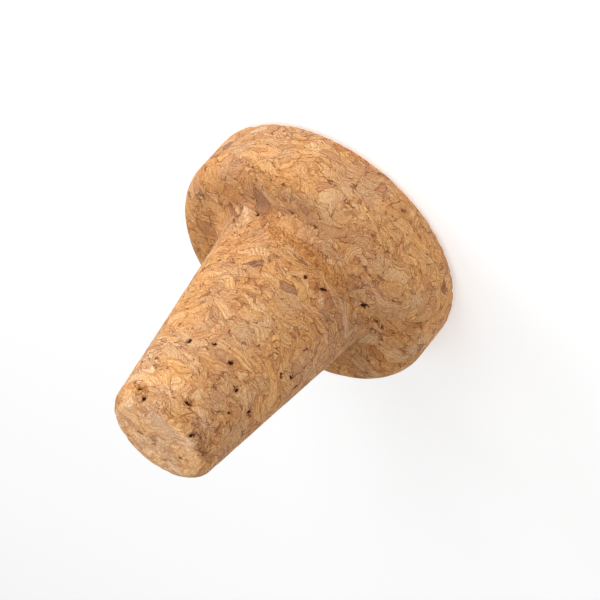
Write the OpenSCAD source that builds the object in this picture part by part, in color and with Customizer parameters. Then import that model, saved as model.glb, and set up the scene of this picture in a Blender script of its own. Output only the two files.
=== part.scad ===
// Cork stopper: a tapered shank that plugs a round neck, under a wide grip head.
// One turned solid of agglomerated cork. It stands on the flat face of its head,
// with the origin at the centre of that face and the shank pointing up +Z.

/* [Head] */
// Diameter of the grip head
head_d = 60; // [50:1:90]
// Thickness of the head, from its flat face to the shoulder
head_h = 15; // [10:0.5:30]
// Rounding of the edge around the flat face
face_edge_r = 2; // [0.5:0.25:4]
// Rounding of the edge on the shank side, where fingers pull
grip_edge_r = 4.5; // [1:0.25:5]

/* [Shank] */
// Length of the shank, from the shoulder to the tip
shank_l = 48; // [25:1:90]
// Diameter of the shank at the shoulder
shank_d = 36; // [26:0.5:42]
// Diameter of the shank at the tip, before the tip edge is rounded
tip_d = 23; // [12:0.5:35]
// Rounding of the tip edge
tip_edge_r = 3; // [0.5:0.25:5]
// Hollow rounding where the shank meets the shoulder
root_fillet_r = 3.5; // [0.5:0.25:4]

/* [Hidden] */
$fn = 96;

head_r = head_d / 2;
shank_r = shank_d / 2;
tip_r = tip_d / 2;
stopper_h = head_h + shank_l;

// Half angle of the taper, and its cosine and sine for points set square to the side
taper = atan((shank_r - tip_r) / shank_l);
side_cos = cos(taper);
side_sin = sin(taper);

// Roundings never take more than the wall that carries them
face_edge = min(face_edge_r, head_h / 3);
grip_edge = min(grip_edge_r, head_h / 2, head_r - shank_r - 1);
tip_edge = min(tip_edge_r, tip_r / 2, shank_l / 4);
root_fillet = min(root_fillet_r, shank_l / 4, head_r - shank_r - grip_edge);

// Radius of the tapered side at height z
function side_r(z) = shank_r - (z - head_h) * tan(taper);

// Half outline of the head: square corners cut back to arcs
module head_outline() {
    polygon([
        [0, 0],
        [head_r - face_edge, 0],
        [head_r, face_edge],
        [head_r, head_h - grip_edge],
        [head_r - grip_edge, head_h],
        [0, head_h]
    ]);
    translate([head_r - face_edge, face_edge])
        circle(r = face_edge);
    translate([head_r - grip_edge, head_h - grip_edge])
        circle(r = grip_edge);
}

// Half outline of the shank: the taper, closed by an arc that is tangent to side and end
module shank_outline() {
    arc_z = stopper_h - tip_edge;
    arc_r = side_r(arc_z) - tip_edge / side_cos;
    polygon([
        [0, head_h],
        [shank_r, head_h],
        [arc_r + tip_edge * side_cos, arc_z + tip_edge * side_sin],
        [arc_r, stopper_h],
        [0, stopper_h]
    ]);
    translate([arc_r, arc_z])
        circle(r = tip_edge);
}

// The root fillet: the corner between shoulder and side, less the circle tangent to both
module root_outline() {
    arc_z = head_h + root_fillet;
    arc_r = side_r(arc_z) + root_fillet / side_cos;
    difference() {
        polygon([
            [shank_r, head_h],
            [arc_r, head_h],
            [arc_r, arc_z],
            [arc_r - root_fillet * side_cos, arc_z - root_fillet * side_sin]
        ]);
        translate([arc_r, arc_z])
            circle(r = root_fillet);
    }
}

module stopper() {
    color("#C18E62")
        rotate_extrude()
            union() {
                head_outline();
                shank_outline();
                root_outline();
            }
}

stopper();
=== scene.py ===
import math

import bpy
import numpy as np
from bpy.props import FloatProperty, FloatVectorProperty, IntProperty, PointerProperty
from mathutils import Matrix, Vector


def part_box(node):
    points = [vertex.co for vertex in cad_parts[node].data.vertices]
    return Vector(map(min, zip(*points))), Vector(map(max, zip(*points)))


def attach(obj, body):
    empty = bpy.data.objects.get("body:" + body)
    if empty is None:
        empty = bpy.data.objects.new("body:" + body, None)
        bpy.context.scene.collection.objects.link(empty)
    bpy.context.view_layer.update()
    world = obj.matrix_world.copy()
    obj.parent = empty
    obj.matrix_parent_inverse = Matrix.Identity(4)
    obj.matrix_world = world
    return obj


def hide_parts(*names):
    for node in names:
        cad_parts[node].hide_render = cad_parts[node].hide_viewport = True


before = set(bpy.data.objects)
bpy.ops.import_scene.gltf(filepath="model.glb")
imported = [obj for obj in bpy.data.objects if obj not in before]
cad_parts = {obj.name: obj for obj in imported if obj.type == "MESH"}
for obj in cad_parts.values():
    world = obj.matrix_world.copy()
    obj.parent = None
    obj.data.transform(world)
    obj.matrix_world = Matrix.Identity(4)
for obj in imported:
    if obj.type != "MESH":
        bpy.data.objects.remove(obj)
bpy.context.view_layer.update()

bl_info = {
    "name": "Cork Stopper",
    "version": (1, 0, 0),
    "blender": (4, 5, 0),
    "location": "3D View > Sidebar > Cork",
    "description": "Finishes a turned cork stopper: grained body, pores, worn edges and a plain stage",
    "category": "Object",
}

# The stopper stands on z = 0, centred on its axis, so its high corner gives its radius and its height
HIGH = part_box("stopper")[1]
MM = 0.001
SEED = 7

# Pores that show, as a separate script located them, their places rounded to a millimetre and 5 degrees:
# millimetres along the outline from the face's centre, degrees round the axis, length and width in
# millimetres, and the length's turn in degrees
PORES = (
    (86, -55, 1.2, 0.9, 30), (84, -75, 1.3, 0.5, 60), (83, -35, 0.7, 0.5, 20), (85, -95, 1.0, 0.7, 60),
    (78, -135, 1.2, 0.6, -60), (76, -145, 1.4, 0.6, -80), (75, -160, 1.6, 0.5, 0), (88, -115, 1.2, 0.8, 10),
    (88, -140, 1.2, 0.8, 20), (97, -90, 1.4, 0.6, 80), (99, -40, 1.2, 0.6, 70), (101, -50, 1.1, 0.6, 40),
    (108, 35, 1.0, 0.6, 30), (101, -115, 1.4, 0.7, 15), (92, -125, 0.9, 0.5, 50), (61, -95, 0.9, 0.8, 0),
    (60, -110, 1.9, 0.5, 50), (54, -140, 1.6, 0.9, 35), (54, -40, 0.8, 0.5, 80), (42, 10, 0.9, 0.6, 20),
)
# Flakes of bark that show, from the same script and rounded in the same way
BARK = (
    (47, -65, 2.4, 1.5, 50), (42, -90, 3.2, 1.1, 45), (60, -60, 1.5, 0.7, 60), (38, -115, 3.2, 1.3, 10),
    (86, -85, 4.2, 0.9, 75), (42, -35, 2.2, 0.9, 80), (52, -125, 2.0, 1.0, 20), (71, -75, 1.8, 1.0, 30),
    (63, -120, 2.2, 1.2, 60), (50, 20, 1.6, 1.0, 40),
)
# Where the root is torn to crumbs: degrees round the axis, and how far the tear reaches to each side
TORN = ((-90, 45), (75, 25), (150, 15))
# Crumbly spots elsewhere: millimetres along the outline, degrees round the axis, and radius in millimetres
CRUMBLY = ((100, -130, 2.5), (100, -45, 2.0), (101, 60, 2.0), (46, 110, 2.5), (30, -70, 2.0))
# Seeded marks on the side that the tables leave bare: how many, and their greatest length in millimetres
MORE_PORES = (34, 1.5)
MORE_BARK = (12, 3.2)
# Where they may lie, in millimetres along the outline and degrees round the axis
BARE_ALONG = (4, 112)
BARE_ANGLES = (25, 195)
# How far a seeded mark stays from the others in millimetres, and what one degree counts for
APART = 4
MM_PER_DEGREE = 0.25

# Lumps of the noises that shape the surface, in millimetres
BROAD_LUMPS = 9
CHIP_LUMPS = 2.4
COARSE_CRUMBS = 1.8
FINE_CRUMBS = 0.9
TORN_CRUMBS = 0.8
# How far round their edges the face and the tip lose crumbs, in millimetres
FACE_REACH = 1.6
TIP_REACH = 1.8
# Height over which the relief sets in above the flat face, in millimetres
SETTING_IN = 0.4
# Depths in millimetres of what the surface loses
BROAD_DEPTH = 0.06
CHIP_DEPTH = 0.08
FACE_CRUMB_DEPTH = 1.0
TIP_CRUMB_DEPTH = 0.4
TORN_DEPTH = 0.3
PORE_DEPTH = 0.5

# Bends of the granulate, in millimetres: the size of their lumps, and about twice how far they move a place
CURL = (8, 8.0)
WANDER = (1.6, 1.1)
BURR = (3.6, 2.4)
# Lumps of the noises that colour the cork, in millimetres
LINE_WAVES = 1.4
LINE_PATCHES = 2.4
SEAM_PATCHES = 1.8
CRACK_PATCHES = 1.2
SPECKS = 0.5
SPECK_PATCHES = 3.0
MOTTLE = 0.9
CELLS = 0.24
DRIFT = 9
CRUMBS = 0.5
TEAR_EDGE = 1.6
SPOT_EDGE = 0.6

# Spots: the attribute that each reads, the half sizes at which it starts to fade and is gone, and how much it
# covers. Bark comes first, then the stain round a pore, then the pore itself.
SPOTS = (("bark", 0.75, 1.1, 0.65), ("pore", 0.9, 1.8, 0.5), ("pore", 0.7, 1.05, 0.93))

# How fast red, green and blue darken, as powers: darker cork is also deeper in colour
DEEPENING = (1.0, 1.7, 2.2)
# Tints as shares of red, green and blue
WARM_DRIFT = (1.00, 1.02, 0.93, 1.0)
COOL_DRIFT = (0.93, 1.04, 1.20, 1.0)
WARM_CHIP = (1.03, 0.98, 0.92, 1.0)
COOL_CHIP = (0.98, 1.01, 1.06, 1.0)
# The cut tip's own pinker colour, with painted light that makes it paler
TIP_TINT_AND_PAINTED_LIGHT = (1.38, 1.53, 1.84, 1.0)
CRUMB_SHADOW = (0.52, 0.36, 0.26, 1.0)
CRUMB_LIGHT = (1.18, 1.16, 1.12, 1.0)
# Light that a crack sends back, as a share of what a joint does: the joint's own dark colour deepened by
# painted shade inside the open gap
CRACK_SHARE = 0.35

# Lamps by the camera's right, up and near directions, each with its power in watts
LAMPS = (
    ("key", (-0.45, 0.35, 0.8), 2.4),
    ("rim", (-0.7, 0.65, 0.25), 5.45),
    ("top", (-0.5, -0.5, 0.7), 2.05),
    ("side", (-0.9, -0.3, 0.3), 1.05),
    ("fill", (0.8, -0.5, 0.35), 1.7),
)
LAMP_SIZE = 0.5
LAMP_DISTANCE = 0.9
# Slightly cool lamps and a slightly warm room, so that shadows are deeper in colour than lit places
LAMP_COLOUR = (0.97, 1.0, 1.04)
ROOM_COLOUR = (1.0, 0.95, 0.88, 1.0)
ROOM_STRENGTH = 0.245


def linear(hex_colour):
    """An sRGB hex colour as linear red, green and blue."""
    channels = [int(hex_colour[i : i + 2], 16) / 255 for i in (1, 3, 5)]
    return tuple(c / 12.92 if c <= 0.04045 else ((c + 0.055) / 1.055) ** 2.4 for c in channels)


# ---------------------------------------------------------------- sizes and colours


class StopperShape(bpy.types.PropertyGroup):
    """Sizes of the turned outline, the same as the solid's, and how finely it is cut."""

    head_height: FloatProperty(
        name="Head height", description="From the flat face to the shoulder",
        default=15 * MM, unit="LENGTH",
    )
    face_edge: FloatProperty(
        name="Face edge", description="Rounding around the flat face", default=2 * MM, unit="LENGTH"
    )
    grip_edge: FloatProperty(
        name="Grip edge", description="Rounding of the head on the shank side",
        default=4.5 * MM, unit="LENGTH",
    )
    shank_radius: FloatProperty(
        name="Shank radius", description="Radius of the shank at the shoulder",
        default=18 * MM, unit="LENGTH",
    )
    tip_radius: FloatProperty(
        name="Tip radius", description="Radius of the shank at its tip", default=11.5 * MM, unit="LENGTH"
    )
    tip_edge: FloatProperty(
        name="Tip edge", description="Rounding around the tip", default=3 * MM, unit="LENGTH"
    )
    root_fillet: FloatProperty(
        name="Root fillet", description="Hollow between shank and shoulder", default=3.5 * MM, unit="LENGTH"
    )
    columns: IntProperty(
        name="Columns", description="Mesh columns round the axis", default=400, min=24
    )


class CorkLook(bpy.types.PropertyGroup):
    """The granulate: how large its chips are, how they lie, and what colours they have."""

    chip_length: FloatProperty(
        name="Chip length", description="Length of a large chip across the axis",
        default=4.8 * MM, unit="LENGTH",
    )
    chip_height: FloatProperty(
        name="Chip height", description="Height of a large chip along the axis",
        default=2.0 * MM, unit="LENGTH",
    )
    fines_length: FloatProperty(
        name="Fines length", description="Length of the small chips between",
        default=2.5 * MM, unit="LENGTH",
    )
    fines_height: FloatProperty(
        name="Fines height", description="Height of the small chips", default=1.05 * MM, unit="LENGTH"
    )
    growth_spacing: FloatProperty(
        name="Growth spacing", description="Distance between growth lines",
        default=0.62 * MM, unit="LENGTH",
    )
    pale: FloatVectorProperty(
        name="Pale cork", description="The lightest chips", default=linear("#E5B485"), subtype="COLOR"
    )
    honey: FloatVectorProperty(
        name="Honey cork", description="Most chips", default=linear("#E0A871"), subtype="COLOR"
    )
    tan: FloatVectorProperty(
        name="Tan cork", description="Darker chips", default=linear("#D8A06C"), subtype="COLOR"
    )
    russet: FloatVectorProperty(
        name="Russet cork", description="Reddish chips", default=linear("#CD9263"), subtype="COLOR"
    )
    bark: FloatVectorProperty(
        name="Bark", description="Grey brown chips from near the bark",
        default=linear("#A27657"), subtype="COLOR",
    )
    growth: FloatVectorProperty(
        name="Growth lines", description="Darker cork laid down each autumn",
        default=linear("#9A4C20"), subtype="COLOR",
    )
    joint: FloatVectorProperty(
        name="Joints", description="Seams between chips", default=linear("#7A3817"), subtype="COLOR"
    )
    # The pore's near-black is partly its own dark brown and partly painted shade of the deep hole
    pore: FloatVectorProperty(
        name="Pore", description="Inside of a pore", default=linear("#2A1208"), subtype="COLOR"
    )
    torn: FloatVectorProperty(
        name="Torn cork", description="Crumbly orange cork at the root",
        default=linear("#E6A664"), subtype="COLOR",
    )


class StageSetup(bpy.types.PropertyGroup):
    """The camera, the lights and the floor."""

    elevation: FloatProperty(
        name="Elevation", description="Camera above the floor", default=math.radians(30.7), unit="ROTATION"
    )
    roll: FloatProperty(
        name="Roll", description="Camera turned about its own axis",
        default=math.radians(-139.6), unit="ROTATION",
    )
    distance: FloatProperty(
        name="Distance", description="Camera to the point it looks at", default=450 * MM, unit="LENGTH"
    )
    aim: FloatVectorProperty(
        name="Aim", description="Point that the camera looks at",
        default=(-3.5 * MM, 7.8 * MM, 13.1 * MM), subtype="TRANSLATION", unit="LENGTH",
    )
    lens: FloatProperty(name="Lens", description="Focal length in millimetres", default=128.8)
    floor_size: FloatProperty(name="Floor", description="Side of the floor", default=6.0, unit="LENGTH")


# ---------------------------------------------------------------- the turned form


def outline(shape):
    """Half outline from the face's centre to the tip's centre: radius and height, and the outward normal.

    Straight stretches run between the ends of the arcs. Each arc has its own centre, and the ones on the
    shank are tangent to its tapered side. Each stretch is cut evenly. Rows lie about 0.4 mm apart, and 2 mm
    apart on the flat face, which stays plain."""
    radius, height = HIGH.x, HIGH.z
    head, tip, root = shape.head_height, shape.tip_edge, shape.root_fillet
    shank = height - head
    taper = math.atan((shape.shank_radius - shape.tip_radius) / shank)

    def side(z):
        return shape.shank_radius - (z - head) * math.tan(taper)

    root_z, tip_z = head + root, height - tip
    root_r = side(root_z) + root / math.cos(taper)
    tip_r = side(tip_z) - tip / math.cos(taper)
    # Each arc: its centre, its radius, its first and last angle, and its rows
    arcs = [
        ((radius - shape.face_edge, shape.face_edge), shape.face_edge, -math.pi / 2, 0.0, 9),
        ((radius - shape.grip_edge, head - shape.grip_edge), shape.grip_edge, 0.0, math.pi / 2, 20),
        ((root_r, root_z), root, -math.pi / 2, -math.pi + taper, 16),
        ((tip_r, tip_z), tip, taper, math.pi / 2, 14),
    ]
    # Rows of the face, the head's side, the shoulder, the shank and the tip
    straight_rows = [14, 24, 12, 112, 20]
    points, normals = [], []
    start = np.array([0.0, 0.0])
    ends = []
    for centre, bend, first, last, rows in arcs:
        angle = np.linspace(first, last, rows)
        ray = np.stack([np.cos(angle), np.sin(angle)], 1)
        ends.append((np.array(centre) + bend * ray, ray if first < last else -ray))
    for (arc_points, arc_normals), rows in zip(ends, straight_rows):
        step = np.linspace(0, 1, rows, endpoint=False)[1 if len(points) else 0 :, None]
        points.append(start + (arc_points[0] - start) * step)
        normals.append(np.repeat(arc_normals[:1], len(step), 0))
        points.append(arc_points)
        normals.append(arc_normals)
        start = arc_points[-1]
    step = np.linspace(0, 1, straight_rows[-1])[1:, None]
    points.append(start + (np.array([0.0, height]) - start) * step)
    normals.append(np.repeat(normals[-1][-1:], len(step), 0))
    return np.vstack(points), np.vstack(normals)


def lattice_noise(places, cell, seed):
    """Smooth random values from -1 to 1 at an array of places.

    Each corner of a cubic lattice with the given cell gets a number mixed from its whole coordinates, and
    the eight corners round a place are blended by the smooth step 3t^2 - 2t^3 along each axis."""
    scaled = places / cell
    low = np.floor(scaled)
    part = scaled - low
    part = part * part * (3 - 2 * part)
    low = low.astype(np.int64)
    total = np.zeros(len(places))
    for corner in np.ndindex(2, 2, 2):
        key = (low + corner) * np.array([73856093, 19349663, 83492791])
        mixed = (key[:, 0] ^ key[:, 1] ^ key[:, 2] ^ (seed * 2654435761)) & 0xFFFFFFFF
        mixed = ((mixed ^ (mixed >> 15)) * 2246822519) & 0xFFFFFFFF
        mixed = ((mixed ^ (mixed >> 13)) * 3266489917) & 0xFFFFFFFF
        value = ((mixed ^ (mixed >> 16)) & 0xFFFFFF) / 0x7FFFFF - 1
        weight = np.prod(np.where(corner, part, 1 - part), 1)
        total += weight * value
    return total


def bell(distance, width):
    """1 at no distance, falling smoothly to nothing past the width."""
    return np.exp(-((distance / width) ** 2))


def scattered(marks, count, longest, seed):
    """The given marks, and seeded ones where these leave the side bare, each apart from all before it."""
    random = np.random.default_rng(seed)
    kept = [tuple(mark) for mark in marks]
    while len(kept) < len(marks) + count:
        along, angle = random.uniform(*BARE_ALONG), random.uniform(*BARE_ANGLES)
        length = random.uniform(0.4, 1.0) * longest
        around = [(angle - mark[1] + 180) % 360 - 180 for mark in kept]
        apart = [math.hypot(along - mark[0], MM_PER_DEGREE * turn) for mark, turn in zip(kept, around)]
        if min(apart) > APART:
            kept.append((along, angle, length, length * random.uniform(0.4, 0.8), random.uniform(-90, 90)))
    return np.array(kept)


def nearest_mark(places, profile, marks):
    """Where each place lies in its nearest mark: along it and across it in half sizes, and how near it is.

    A mark's centre stands on the outline, turned to its angle. Its own axes are the outline's direction and
    the way round, turned together. Both offsets are dot products with those axes, so they are linear in space
    and keep their shape between vertices. Nearness is 1 within 1.6 half lengths and nothing past 2.8."""
    along, angle, length, width, turn = marks.T
    travelled = np.concatenate([[0], np.cumsum(np.hypot(*np.diff(profile, axis=0).T))])
    radius, height = (np.interp(along * MM, travelled, profile[:, axis]) for axis in (0, 1))
    ahead_r, ahead_z = (np.interp(along * MM + 0.2 * MM, travelled, profile[:, axis]) for axis in (0, 1))
    slope = np.hypot(ahead_r - radius, ahead_z - height)
    angle, turn = np.radians(angle), np.radians(turn)
    cos, sin, level = np.cos(angle), np.sin(angle), np.zeros(len(marks))
    outwards = ahead_r - radius
    forward = np.stack([outwards * cos, outwards * sin, ahead_z - height], 1) / slope[:, None]
    around = np.stack([-sin, cos, level], 1)
    long_axis = forward * np.cos(turn)[:, None] + around * np.sin(turn)[:, None]
    short_axis = around * np.cos(turn)[:, None] - forward * np.sin(turn)[:, None]
    centre = np.stack([radius * cos, radius * sin, height], 1)
    half = length * MM / 2
    distance = np.stack([np.linalg.norm(places - middle, axis=1) for middle in centre], 1) / half
    which = np.argmin(distance, 1)
    offset = places - centre[which]
    lengthwise = (offset * long_axis[which]).sum(1) / half[which]
    crosswise = (offset * short_axis[which]).sum(1) / (width * MM / 2)[which]
    near = np.clip((2.8 - distance.min(1)) / 1.2, 0, 1)
    return np.stack([lengthwise, crosswise, near], 1)


def torn_share(places, radii, profile, shape):
    """How torn the surface is, from 0 to about 1.

    A band at the root is a bell of height just above the shoulder times bells of angle. Crumbly spots are
    bells of distance from points on the outline."""
    travelled = np.concatenate([[0], np.cumsum(np.hypot(*np.diff(profile, axis=0).T))])
    angle = np.degrees(np.arctan2(places[:, 1], places[:, 0]))
    share = bell(places[:, 2] - shape.head_height - shape.root_fillet, 1.5 * MM)
    share *= radii < shape.shank_radius + 0.8 * shape.root_fillet
    middle, width = np.array(TORN).T
    off = (angle[:, None] - middle + 180) % 360 - 180
    share *= bell(off, width).sum(1)
    for along, turn, reach in CRUMBLY:
        radius, height = (np.interp(along * MM, travelled, profile[:, axis]) for axis in (0, 1))
        turn = math.radians(turn)
        middle = np.array([radius * math.cos(turn), radius * math.sin(turn), height])
        share = np.maximum(share, bell(np.linalg.norm(places - middle, axis=1), reach * MM))
    return share


def surface_relief(places, radii, pores, torn, shape):
    """How far each place lies inside the turned surface, in metres, never outwards.

    A broad unevenness and a chip-sized one cover it all. The face's and tip's edges lose crumbs where a noise
    is high, the surface is rough where it is torn, and each pore is a rounded pit. None of it reaches the
    flat face at z = 0."""
    radius, top, heights = HIGH.x, HIGH.z, places[:, 2]
    broad = 0.5 + 0.5 * lattice_noise(places, BROAD_LUMPS * MM, SEED)
    chips = 0.5 + 0.5 * lattice_noise(places * np.array([1, 1, 2]), CHIP_LUMPS * MM, SEED + 1)
    depth = (BROAD_DEPTH * broad + CHIP_DEPTH * chips) * MM

    crumbs = np.clip(lattice_noise(places, COARSE_CRUMBS * MM, SEED + 2) - 0.2, 0, 1)
    crumbs += 0.4 * np.clip(lattice_noise(places, FINE_CRUMBS * MM, SEED + 3), 0, 1)
    at_face = np.hypot(radii - radius, heights)
    at_tip = np.hypot(radii - shape.tip_radius, heights - top)
    depth += FACE_CRUMB_DEPTH * MM * crumbs * bell(at_face, FACE_REACH * MM)
    depth += TIP_CRUMB_DEPTH * MM * crumbs * bell(at_tip, TIP_REACH * MM)

    rough = 0.5 + 0.5 * lattice_noise(places, TORN_CRUMBS * MM, SEED + 4)
    depth += TORN_DEPTH * MM * rough * torn

    lengthwise, crosswise, near = pores.T
    pit = np.clip(1 - (lengthwise**2 + crosswise**2) / 1.7, 0, 1) * near
    depth += PORE_DEPTH * MM * pit
    return depth * np.clip(heights / (SETTING_IN * MM), 0, 1)


def revolve(rows, columns):
    """Quads of a closed surface of revolution whose first and last rows are single pole points."""
    ring = np.arange(columns)
    after = (ring + 1) % columns
    first = 1 + np.arange(rows - 1)[:, None] * columns
    quads = np.stack([first + ring, first + after, first + columns + after, first + columns + ring], -1)
    last_row = 1 + (rows - 1) * columns
    low_fan = np.stack([np.zeros(columns, int), after + 1, ring + 1], -1)
    high_fan = np.stack([np.full(columns, last_row + columns), last_row + ring, last_row + after], -1)
    return quads.reshape(-1, 4), np.vstack([low_fan, high_fan])


def build_mesh(name, places, quads, triangles):
    """A smooth mesh from whole arrays of places, quads and triangles."""
    mesh = bpy.data.meshes.new(name)
    loops = np.concatenate([quads.ravel(), triangles.ravel()]).astype(np.int32)
    sizes = np.concatenate([np.full(len(quads), 4), np.full(len(triangles), 3)]).astype(np.int32)
    mesh.vertices.add(len(places))
    mesh.vertices.foreach_set("co", places.astype(np.float32).ravel())
    mesh.loops.add(len(loops))
    mesh.loops.foreach_set("vertex_index", loops)
    mesh.polygons.add(len(sizes))
    mesh.polygons.foreach_set("loop_start", np.concatenate([[0], np.cumsum(sizes)[:-1]]).astype(np.int32))
    mesh.polygons.foreach_set("use_smooth", np.ones(len(sizes), bool))
    mesh.update(calc_edges=True)
    mesh.validate()
    return mesh


def stopper_mesh(shape):
    """The outline turned about the axis: place = (r cos a, r sin a, z) - depth * outward normal.

    The angle a and the distance along the outline are the parameters, and depth is the surface relief."""
    profile, normals = outline(shape)
    angle = np.arange(shape.columns) * (2 * math.pi / shape.columns)
    turn = np.stack([np.cos(angle), np.sin(angle)], -1)

    def turned(pairs):
        flat = pairs[:, None, :1] * turn[None]
        return np.concatenate([flat, np.repeat(pairs[:, None, 1:], shape.columns, 1)], -1).reshape(-1, 3)

    ends = np.array([[0, 0, profile[0, 1]], [0, 0, profile[-1, 1]]])
    places = np.vstack([ends[:1], turned(profile[1:-1]), ends[1:]])
    outward = np.vstack([[[0, 0, -1]], turned(normals[1:-1]), [[0, 0, 1]]])
    radii = np.hypot(places[:, 0], places[:, 1])
    pores = nearest_mark(places, profile, scattered(PORES, *MORE_PORES, SEED + 5))
    bark = nearest_mark(places, profile, scattered(BARK, *MORE_BARK, SEED + 6))
    torn = torn_share(places, radii, profile, shape)
    depth = surface_relief(places, radii, pores, torn, shape)
    quads, triangles = revolve(len(profile) - 2, shape.columns)
    mesh = build_mesh("stopper_body", places - outward * depth[:, None], quads, triangles)
    for name, values in (("pore", pores), ("bark", bark)):
        layer = mesh.attributes.new(name, "FLOAT_VECTOR", "POINT")
        layer.data.foreach_set("vector", values.astype(np.float32).ravel())
    mesh.attributes.new("torn", "FLOAT", "POINT").data.foreach_set("value", torn.astype(np.float32))
    return mesh


# ---------------------------------------------------------------- materials


# Settings that many of the cork's nodes share
SMOOTH = {"interpolation_type": "SMOOTHSTEP"}
PRODUCT = {"operation": "MULTIPLY"}
SUM_OF_PRODUCT = {"operation": "MULTIPLY_ADD"}
BLEND = {"data_type": "RGBA"}
TINT = {"data_type": "RGBA", "blend_type": "MULTIPLY"}


def add(tree, kind, inputs, stops=(), **settings):
    """Adds a node with its settings and links.

    Inputs are given in order or by name. Each is a value, a socket, or a node whose first output is used."""
    node = tree.nodes.new("ShaderNode" + kind)
    for setting, value in settings.items():
        setattr(node, setting, value)
    for place, (position, colour) in enumerate(stops):
        ramp = node.color_ramp.elements
        stop = ramp[place] if place < 2 else ramp.new(position)
        stop.position = position
        stop.color = (*colour, 1.0)
    for key, value in inputs.items() if isinstance(inputs, dict) else enumerate(inputs):
        sockets = [s for s in node.inputs if s.enabled]
        socket = sockets[key] if isinstance(key, int) else next(s for s in sockets if s.name == key)
        if isinstance(value, bpy.types.Node):
            value = next(s for s in value.outputs if s.enabled)
        if isinstance(value, bpy.types.NodeSocket):
            tree.links.new(value, socket)
        else:
            socket.default_value = value
    return node


def shifted(tree, place, point, size, reach, detail=1.0):
    """A point moved by reach * (noise - 0.5). The noise is read at a place, and size is that of its lumps."""
    field = add(tree, "TexNoise", {"Vector": place, "Scale": 1 / size, "Detail": detail}).outputs["Color"]
    field = add(tree, "VectorMath", (field, (0.5, 0.5, 0.5)), operation="SUBTRACT")
    return add(tree, "VectorMath", (field, (reach,) * 3, point), **SUM_OF_PRODUCT)


def granulate(tree, look, place):
    """Chips in two sizes, flattened along the axis as the granulate is pressed.

    They are cells round scattered points, and about half of the large ones are broken into small ones. Gives
    each chip's chance colour and the distance to its edge."""
    chips, joints = [], []
    for length, height in ((look.chip_length, look.chip_height), (look.fines_length, look.fines_height)):
        scaled = add(tree, "Mapping", {"Vector": place, "Scale": (MM / length, MM / length, MM / height)})
        chips.append(add(tree, "TexVoronoi", {"Vector": scaled, "Scale": 1.0}, feature="F1"))
        joints.append(add(tree, "TexVoronoi", {"Vector": scaled, "Scale": 1.0}, feature="DISTANCE_TO_EDGE"))
    coarse = add(tree, "SeparateColor", (chips[0].outputs["Color"],))
    broken = add(tree, "Math", (coarse.outputs["Blue"], 0.5), operation="GREATER_THAN")
    chance = add(tree, "Mix", (broken, chips[0].outputs["Color"], chips[1].outputs["Color"]), **BLEND)
    fine_joint = add(tree, "Math", (joints[1].outputs["Distance"], 0.5), **PRODUCT)
    fine_joint = add(tree, "Math", (joints[0].outputs["Distance"], fine_joint), operation="MINIMUM")
    joint = add(tree, "Mix", (broken, joints[0].outputs["Distance"], fine_joint), data_type="FLOAT")
    return chance, joint


def growth_lines(tree, look, place, curled, chance):
    """Thin even lines across a direction of each chip's own, bent into burrs, no two equally dark.

    Gives the strength of the lines, the shade from one line to the next, and finer streaks beside them."""
    own = add(tree, "SeparateColor", (chance,))
    direction = add(tree, "VectorMath", (chance, (0.5, 0.5, 0.5)), operation="SUBTRACT")
    direction = add(tree, "VectorMath", (direction, (1.6, 1.6, 0.6), (0.0, 0.0, 1.0)), **SUM_OF_PRODUCT)
    burr = shifted(tree, place, curled, *BURR)
    along = add(tree, "VectorMath", (burr, direction), operation="DOT_PRODUCT").outputs["Value"]
    tightness = add(tree, "MapRange", (own.outputs["Green"], 0.0, 1.0, 0.6, 1.3))
    along = add(tree, "Math", (along, tightness), **PRODUCT)
    start = add(tree, "Math", (own.outputs["Blue"], 40.0), **PRODUCT)
    along = add(tree, "Math", (along, MM / look.growth_spacing, start), **SUM_OF_PRODUCT)
    waves = add(tree, "TexNoise", {"Vector": place, "Scale": 1 / LINE_WAVES, "Detail": 3.0})
    along = add(tree, "Math", (waves, along), operation="ADD")

    # Lines stand at whole numbers, and each number has a strength of its own
    off_line = add(tree, "Math", (along, 0.5), operation="PINGPONG")
    number = add(tree, "Math", (along,), operation="ROUND")
    which = add(tree, "TexWhiteNoise", {"W": number}, noise_dimensions="1D").outputs["Value"]
    patches = add(tree, "TexNoise", {"Vector": place, "Scale": 1 / LINE_PATCHES, "Detail": 2.0})
    line = add(tree, "MapRange", (off_line, 0.03, 0.25, 1.0, 0.0), **SMOOTH)
    for strength in (
        add(tree, "MapRange", (which, 0.1, 0.9, 0.1, 1.0)),
        add(tree, "MapRange", (own.outputs["Blue"], 0.15, 0.45, 1.0, 0.15), **SMOOTH),
        add(tree, "MapRange", (patches, 0.38, 0.58, 0.25, 1.0), **SMOOTH),
    ):
        line = add(tree, "Math", (line, strength), **PRODUCT)
    season = add(tree, "MapRange", (off_line, 0.0, 0.5, 0.95, 1.05), **SMOOTH)
    streaks = add(tree, "Math", (along, 2.3), **PRODUCT)
    streaks = add(tree, "TexNoise", {"W": streaks, "Scale": 1.0, "Detail": 2.0}, noise_dimensions="1D")
    streaks = add(tree, "MapRange", (streaks, 0.3, 0.7, 0.87, 1.12))
    return line, season, streaks


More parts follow.
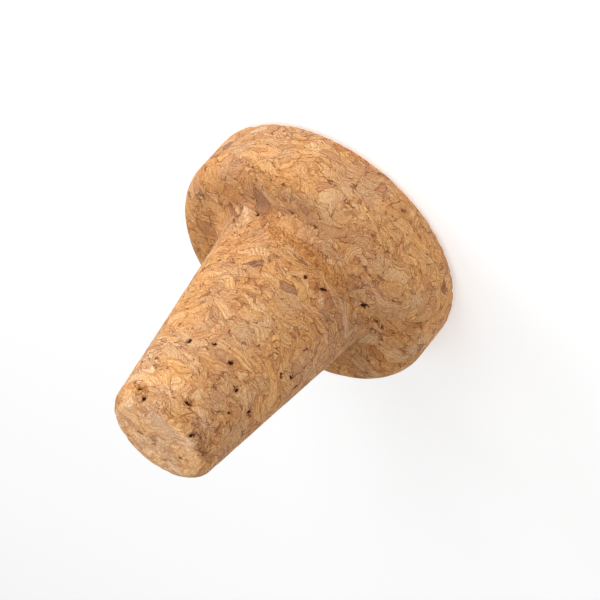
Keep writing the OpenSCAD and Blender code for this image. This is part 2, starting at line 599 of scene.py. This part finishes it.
def seams(tree, place, joint):
    """Thin seams between chips that come and go, and the few places where they gape as cracks."""
    open_share = add(tree, "TexNoise", {"Vector": place, "Scale": 1 / SEAM_PATCHES, "Detail": 2.0})
    open_share = add(tree, "MapRange", (open_share, 0.43, 0.66), **SMOOTH)
    width = add(tree, "Math", (open_share, 0.04, 0.012), **SUM_OF_PRODUCT)
    seam = add(tree, "Math", (joint, width), operation="DIVIDE")
    seam = add(tree, "MapRange", (seam, 0.3, 1.0, 1.0, 0.0), **SMOOTH)
    seam_share = add(tree, "Math", (open_share, 0.5, 0.06), **SUM_OF_PRODUCT)
    seam_share = add(tree, "Math", (seam, seam_share), **PRODUCT)
    cracks = add(tree, "TexNoise", {"Vector": place, "Scale": 1 / CRACK_PATCHES, "Detail": 2.0})
    cracks = add(tree, "MapRange", (cracks, 0.57, 0.65), **SMOOTH)
    deep_seam = add(tree, "MapRange", (seam, 0.3, 0.9), **SMOOTH)
    return seam_share, add(tree, "Math", (deep_seam, cracks), **PRODUCT)


def dark_specks(tree, place):
    """Specks of dark cork, more of them in some patches than in others."""
    specks = add(tree, "TexNoise", {"Vector": place, "Scale": 1 / SPECKS, "Detail": 2.0, "Roughness": 0.6})
    specks = add(tree, "MapRange", (specks, 0.62, 0.68), **SMOOTH)
    speckled = add(tree, "TexNoise", {"Vector": place, "Scale": 1 / SPECK_PATCHES, "Detail": 1.0})
    speckled = add(tree, "MapRange", (speckled, 0.42, 0.55, 0.2, 0.8), **SMOOTH)
    return add(tree, "Math", (specks, speckled), **PRODUCT)


def chip_colour(tree, look, place, chance):
    """A tone for each chip from bark to pale cork, tinted chip by chip and drifting over the body."""
    own = add(tree, "SeparateColor", (chance,))
    # The ramp's two ends come first, then the stops between them
    stops = (
        (0.0, look.bark), (1.0, look.pale), (0.02, look.russet), (0.08, look.russet), (0.16, look.tan),
        (0.42, look.tan), (0.50, look.honey), (0.80, look.honey),
    )
    colour = add(tree, "ValToRGB", (own.outputs["Red"],), stops=stops)
    drift = add(tree, "TexNoise", {"Vector": place, "Scale": 1 / DRIFT, "Detail": 1.0})
    drift = add(tree, "MapRange", (drift, 0.35, 0.65), **SMOOTH)
    for shade in (
        add(tree, "Mix", (drift, WARM_DRIFT, COOL_DRIFT), **BLEND),
        add(tree, "Mix", (own.outputs["Green"], WARM_CHIP, COOL_CHIP), **BLEND),
    ):
        colour = add(tree, "Mix", (1.0, colour, shade), **TINT)
    return colour


def ragged_spots(tree, place, streaks):
    """The share of each kind of spot: how far out a place lies in its mark, plus a noise for ragged edges."""
    ragged = add(tree, "TexNoise", {"Vector": place, "Scale": 1 / SPOT_EDGE, "Detail": 2.0})
    ragged = add(tree, "MapRange", (ragged, 0.3, 0.7, -0.55, 0.55))
    shares = []
    for name, inner, outer, _cover in SPOTS:
        spot = add(tree, "Attribute", (), attribute_name=name)
        parts = add(tree, "SeparateXYZ", (spot.outputs["Vector"],))
        flat = add(tree, "CombineXYZ", (parts.outputs["X"], parts.outputs["Y"]))
        reach = add(tree, "VectorMath", (flat,), operation="LENGTH").outputs["Value"]
        reach = add(tree, "Math", (reach, ragged), operation="ADD")
        inside = add(tree, "MapRange", (reach, inner, outer, 1.0, 0.0), **SMOOTH)
        shares.append(add(tree, "Math", (inside, parts.outputs["Z"]), **PRODUCT))

    # Bark is split along the streaks
    flaked = add(tree, "MapRange", (streaks, 0.9, 1.1, 1.2, 0.7))
    shares[0] = add(tree, "Math", (shares[0], flaked), **PRODUCT)
    return shares


def cork_material(look, top):
    """Agglomerated cork, turned and left bare: matt honey chips with growth lines, fine seams and dark pores.

    The height of the tip is given in millimetres."""
    material = bpy.data.materials.new("Agglomerated cork, turned and unsealed")
    material.use_nodes = True
    tree = material.node_tree
    tree.nodes.clear()

    # Places in millimetres, bent so that chips curl and their edges wander
    coordinates = add(tree, "TexCoord", ())
    place = add(tree, "Mapping", {"Vector": coordinates.outputs["Object"], "Scale": (1 / MM,) * 3})
    curled = shifted(tree, place, place, *CURL)
    bent = shifted(tree, place, curled, *WANDER, 2.0)
    chance, joint = granulate(tree, look, bent)
    line, season, streaks = growth_lines(tree, look, place, curled, chance)
    seam_share, cracks = seams(tree, place, joint)
    specks = dark_specks(tree, place)

    # Cut cells: a fine mottle
    mottle = add(tree, "TexNoise", {"Vector": place, "Scale": 1 / MOTTLE, "Detail": 4.0, "Roughness": 0.65})
    cells = add(tree, "TexNoise", {"Vector": place, "Scale": 1 / CELLS, "Detail": 2.0, "Roughness": 0.6})

    # Shade: what darkens the cork also deepens its colour
    colour = chip_colour(tree, look, place, chance)
    shade = add(tree, "Math", (season, streaks), **PRODUCT)
    for part in (
        add(tree, "MapRange", (joint, 0.0, 0.16, 0.94, 1.03), **SMOOTH),
        add(tree, "MapRange", (mottle, 0.25, 0.75, 0.87, 1.08)),
        add(tree, "MapRange", (cells, 0.3, 0.7, 0.77, 1.14)),
    ):
        shade = add(tree, "Math", (shade, part), **PRODUCT)
    deepened = [add(tree, "Math", (shade, power), operation="POWER") for power in DEEPENING]
    colour = add(tree, "Mix", (1.0, colour, add(tree, "CombineColor", deepened)), **TINT)

    # Lines, seams and cracks show less where the tip is cut across
    up = add(tree, "SeparateXYZ", (place,)).outputs["Z"]
    tip_share = add(tree, "MapRange", (up, top - 0.7, top - 0.1), **SMOOTH)
    showing = add(tree, "MapRange", (tip_share, 0.0, 1.0, 1.0, 0.45))
    line, seam_share, cracks = (
        add(tree, "Math", (part, showing), **PRODUCT) for part in (line, seam_share, cracks)
    )
    # A crack is the joint's own dark colour deepened by painted shade inside the gap
    crack_shade_colour = tuple(CRACK_SHARE * channel for channel in look.joint)
    for share, ink in (
        (add(tree, "Math", (line, 0.5), **PRODUCT), look.growth),
        (seam_share, look.joint),
        (specks, look.joint),
        (add(tree, "Math", (cracks, 0.6), **PRODUCT), crack_shade_colour),
    ):
        colour = add(tree, "Mix", (share, colour, (*ink, 1.0)), **BLEND)

    # The cut tip is pinker in its own colour, and paler partly in its own colour and partly by painted light
    cut = add(tree, "Mix", (1.0, colour, TIP_TINT_AND_PAINTED_LIGHT), **TINT)
    colour = add(tree, "Mix", (tip_share, colour, cut), **BLEND)

    # Torn places are crumbs of light and shadow with a broken edge, and orange near the root
    crumb = add(tree, "TexNoise", {"Vector": place, "Scale": 1 / CRUMBS, "Detail": 3.0, "Roughness": 0.7})
    torn = add(tree, "Attribute", (), attribute_name="torn").outputs["Fac"]
    raggedness = add(tree, "TexNoise", {"Vector": place, "Scale": 1 / TEAR_EDGE, "Detail": 2.0})
    torn = add(tree, "Math", (raggedness, torn), operation="ADD")
    torn = add(tree, "MapRange", (torn, 0.86, 1.06), **SMOOTH)
    at_root = add(tree, "MapRange", (up, 25.0, 35.0, 0.6, 0.0), **SMOOTH)
    orange = add(tree, "Mix", (at_root, colour, (*look.torn, 1.0)), **BLEND)
    lit = add(tree, "MapRange", (crumb, 0.34, 0.62))
    crumb_shade = add(tree, "Mix", (lit, CRUMB_SHADOW, CRUMB_LIGHT), **BLEND)
    crumbs = add(tree, "Mix", (1.0, orange, crumb_shade), **TINT)
    colour = add(tree, "Mix", (torn, colour, crumbs), **BLEND)

    # Flakes of grey bark, then pores, whose near-black inside is partly their own dark brown and partly
    # painted shade of the deep hole
    spots = ragged_spots(tree, place, streaks)
    for spot, kind, ink in zip(spots, SPOTS, (look.bark, look.growth, look.pore)):
        share = add(tree, "Math", (spot, kind[-1]), **PRODUCT)
        colour = add(tree, "Mix", (share, colour, (*ink, 1.0)), **BLEND)

    # Relief: what is dark is sunk a little, and chips, cells and crumbs stand at different heights
    own = add(tree, "SeparateColor", (chance,))
    height = add(tree, "Math", (seam_share, -0.8), **PRODUCT)
    crumbled = add(tree, "Math", (torn, crumb), **PRODUCT)
    for part, rise in (
        (line, -0.3), (spots[2], -1.2), (own.outputs["Green"], 0.45), (mottle, 0.8), (cells, 0.35),
        (specks, -0.5), (cracks, -0.8), (crumbled, 6.0),
    ):
        height = add(tree, "Math", (part, rise, height), **SUM_OF_PRODUCT)
    bump = add(tree, "Bump", {"Height": height, "Strength": 0.8, "Distance": 0.14 * MM})

    surface = add(
        tree, "BsdfPrincipled",
        {"Base Color": colour, "Roughness": 0.9, "IOR": 1.45, "Specular IOR Level": 0.25, "Normal": bump},
    )
    add(tree, "OutputMaterial", {"Surface": surface})
    return material


def floor_material():
    """Matt white studio paper."""
    material = bpy.data.materials.new("Matt white paper")
    material.use_nodes = True
    tree = material.node_tree
    tree.nodes.clear()
    surface = add(
        tree, "BsdfPrincipled",
        {
            "Base Color": (*linear("#D6D6D6"), 1.0), "Roughness": 0.95, "Specular IOR Level": 0.1,
            "Emission Color": (1.0, 1.0, 1.0, 1.0), "Emission Strength": 0.50,
        },
    )
    add(tree, "OutputMaterial", {"Surface": surface})
    return material


# ---------------------------------------------------------------- operators


def link_object(name, data):
    """A new object in the scene that holds the given data."""
    made = bpy.data.objects.new(name, data)
    bpy.context.scene.collection.objects.link(made)
    return made


class OBJECT_OT_cork_stopper_body(bpy.types.Operator):
    """Turn the stopper's body and give it the cork finish"""

    bl_idname = "object.cork_stopper_body"
    bl_label = "Stopper Body"

    def execute(self, context):
        shape = context.scene.stopper_shape
        mesh = stopper_mesh(shape)
        mesh.materials.append(cork_material(context.scene.cork_look, HIGH.z / MM))
        body = link_object("stopper_body", mesh)
        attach(body, "root")
        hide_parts("stopper")
        return {"FINISHED"}


class OBJECT_OT_cork_stopper_stage(bpy.types.Operator):
    """Lay the floor and set the lights and the camera"""

    bl_idname = "object.cork_stopper_stage"
    bl_label = "Stage"

    def execute(self, context):
        stage = context.scene.stage_setup
        aim = Vector(stage.aim)
        back = Vector((0, -math.cos(stage.elevation), math.sin(stage.elevation)))
        level = back.to_track_quat("Z", "Y").to_matrix()
        turn = level @ Matrix.Rotation(stage.roll, 3, "Z")
        camera = bpy.data.cameras.new("camera")
        camera.lens = stage.lens
        camera_object = link_object("camera", camera)
        camera_object.matrix_world = Matrix.Translation(aim + back * stage.distance) @ turn.to_4x4()
        context.scene.camera = camera_object

        half = stage.floor_size / 2
        floor = bpy.data.meshes.new("floor")
        corners = [(-half, -half, 0), (half, -half, 0), (half, half, 0), (-half, half, 0)]
        floor.from_pydata(corners, [], [(0, 1, 2, 3)])
        floor.materials.append(floor_material())
        link_object("floor", floor)

        for name, direction, power in LAMPS:
            light = bpy.data.lights.new(name, "AREA")
            light.shape = "DISK"
            light.size = LAMP_SIZE
            light.energy = power
            light.color = LAMP_COLOUR
            away = (turn @ Vector(direction)).normalized()
            light_object = link_object(name, light)
            light_object.visible_camera = False
            facing = away.to_track_quat("Z", "Y").to_matrix().to_4x4()
            light_object.matrix_world = Matrix.Translation(aim + away * LAMP_DISTANCE) @ facing

        world = bpy.data.worlds.new("studio")
        world.use_nodes = True
        background = world.node_tree.nodes["Background"]
        background.inputs["Color"].default_value = ROOM_COLOUR
        background.inputs["Strength"].default_value = ROOM_STRENGTH
        context.scene.world = world
        context.scene.view_settings.view_transform = "Standard"
        return {"FINISHED"}


class VIEW3D_PT_cork_stopper(bpy.types.Panel):
    """Lists the steps that make the stopper and its stage"""

    bl_idname = "VIEW3D_PT_cork_stopper"
    bl_label = "Cork Stopper"
    bl_space_type = "VIEW_3D"
    bl_region_type = "UI"
    bl_category = "Cork"

    def draw(self, context):
        for group in (context.scene.stopper_shape, context.scene.cork_look, context.scene.stage_setup):
            for name in group.__annotations__:
                self.layout.prop(group, name)
        for step in OPERATORS:
            self.layout.operator(step.bl_idname)


OPERATORS = (OBJECT_OT_cork_stopper_body, OBJECT_OT_cork_stopper_stage)
GROUPS = {"stopper_shape": StopperShape, "cork_look": CorkLook, "stage_setup": StageSetup}


def register():
    for cls in (*GROUPS.values(), *OPERATORS, VIEW3D_PT_cork_stopper):
        bpy.utils.register_class(cls)
    for name, group in GROUPS.items():
        setattr(bpy.types.Scene, name, PointerProperty(type=group))


def unregister():
    for name in GROUPS:
        delattr(bpy.types.Scene, name)
    for cls in reversed((*GROUPS.values(), *OPERATORS, VIEW3D_PT_cork_stopper)):
        bpy.utils.unregister_class(cls)


def main():
    register()
    bpy.ops.object.cork_stopper_body()
    bpy.ops.object.cork_stopper_stage()


if __name__ == "__main__":
    main()
